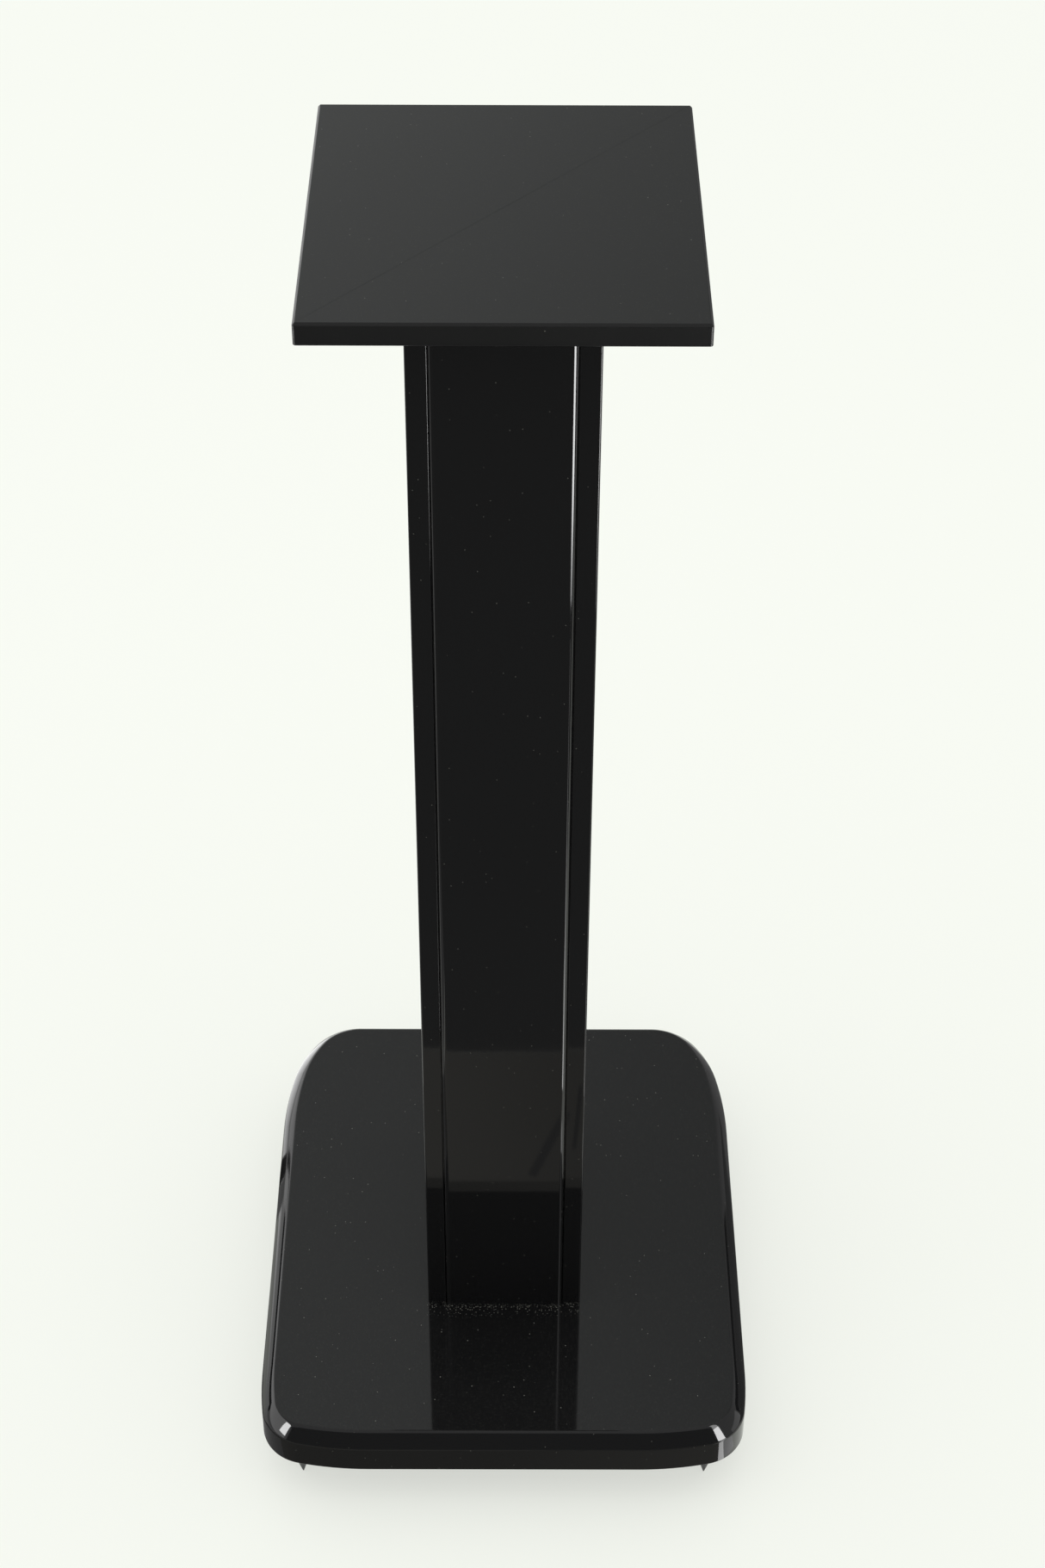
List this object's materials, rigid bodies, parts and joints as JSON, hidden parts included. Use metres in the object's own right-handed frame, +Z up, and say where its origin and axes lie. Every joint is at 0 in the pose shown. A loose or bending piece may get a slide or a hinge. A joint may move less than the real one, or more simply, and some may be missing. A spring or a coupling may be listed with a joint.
{
  "type": "loudspeaker stand",
  "caption": "Floor stand with a flat level top plate on a boxed gloss-black column, and a bevelled bow-fronted plinth on adjustable pointed spikes.",
  "frame": {"origin": "on the floor, at the points of the spikes, under the middle of the plinth", "axes": "+Z up, -Y out of the front with the bowed plinth edge, +X to the right of someone who faces the front"},
  "size_m": [0.282, 0.341, 0.741],
  "materials": {
    "piano_black_lacquer": "high-gloss piano-black lacquer on fibreboard",
    "satin_black_lacquer": "satin black lacquer with a fine speckle on fibreboard",
    "bare_fibreboard": "bare sawn fibreboard",
    "beech": "fluted beech",
    "zinc_steel": "zinc-plated steel",
    "insert_brass": "plain turned brass",
    "black_steel": "blackened turned steel"
  },
  "bodies": {
    "stand": {"top_plate": "satin_black_lacquer", "left_cheek": "piano_black_lacquer", "right_cheek": "piano_black_lacquer", "front_panel": "piano_black_lacquer", "rear_panel": "piano_black_lacquer", "plinth": "piano_black_lacquer", "column_bottom_block": "bare_fibreboard", "column_brace": "bare_fibreboard", "column_top_block": "bare_fibreboard", "bottom_dowel_left": "beech", "bottom_dowel_right": "beech", "top_dowel_left": "beech", "top_dowel_right": "beech", "tie_rod_front_left": "zinc_steel", "rod_nut_front_left": "zinc_steel", "rod_washer_front_left": "zinc_steel", "plate_insert_front_left": "insert_brass", "spike_insert_front_left": "zinc_steel", "lock_nut_front_left": "black_steel", "tie_rod_front_right": "zinc_steel", "rod_nut_front_right": "zinc_steel", "rod_washer_front_right": "zinc_steel", "plate_insert_front_right": "insert_brass", "spike_insert_front_right": "zinc_steel", "lock_nut_front_right": "black_steel", "tie_rod_rear_left": "zinc_steel", "rod_nut_rear_left": "zinc_steel", "rod_washer_rear_left": "zinc_steel", "plate_insert_rear_left": "insert_brass", "spike_insert_rear_left": "zinc_steel", "lock_nut_rear_left": "black_steel", "tie_rod_rear_right": "zinc_steel", "rod_nut_rear_right": "zinc_steel", "rod_washer_rear_right": "zinc_steel", "plate_insert_rear_right": "insert_brass", "spike_insert_rear_right": "zinc_steel", "lock_nut_rear_right": "black_steel"},
    "foot_front_left": {"spike_front_left": "black_steel"},
    "foot_front_right": {"spike_front_right": "black_steel"},
    "foot_rear_left": {"spike_rear_left": "black_steel"},
    "foot_rear_right": {"spike_rear_right": "black_steel"}
  },
  "joints": [
    {"name": "spike_front_left_screw", "type": "slide", "parent": "stand", "child": "foot_front_left", "axis": [0, 0, -1], "range_m": [0, 0.008]},
    {"name": "spike_front_right_screw", "type": "slide", "parent": "stand", "child": "foot_front_right", "axis": [0, 0, -1], "range_m": [0, 0.008]},
    {"name": "spike_rear_left_screw", "type": "slide", "parent": "stand", "child": "foot_rear_left", "axis": [0, 0, -1], "range_m": [0, 0.008]},
    {"name": "spike_rear_right_screw", "type": "slide", "parent": "stand", "child": "foot_rear_right", "axis": [0, 0, -1], "range_m": [0, 0.008]}
  ]
}
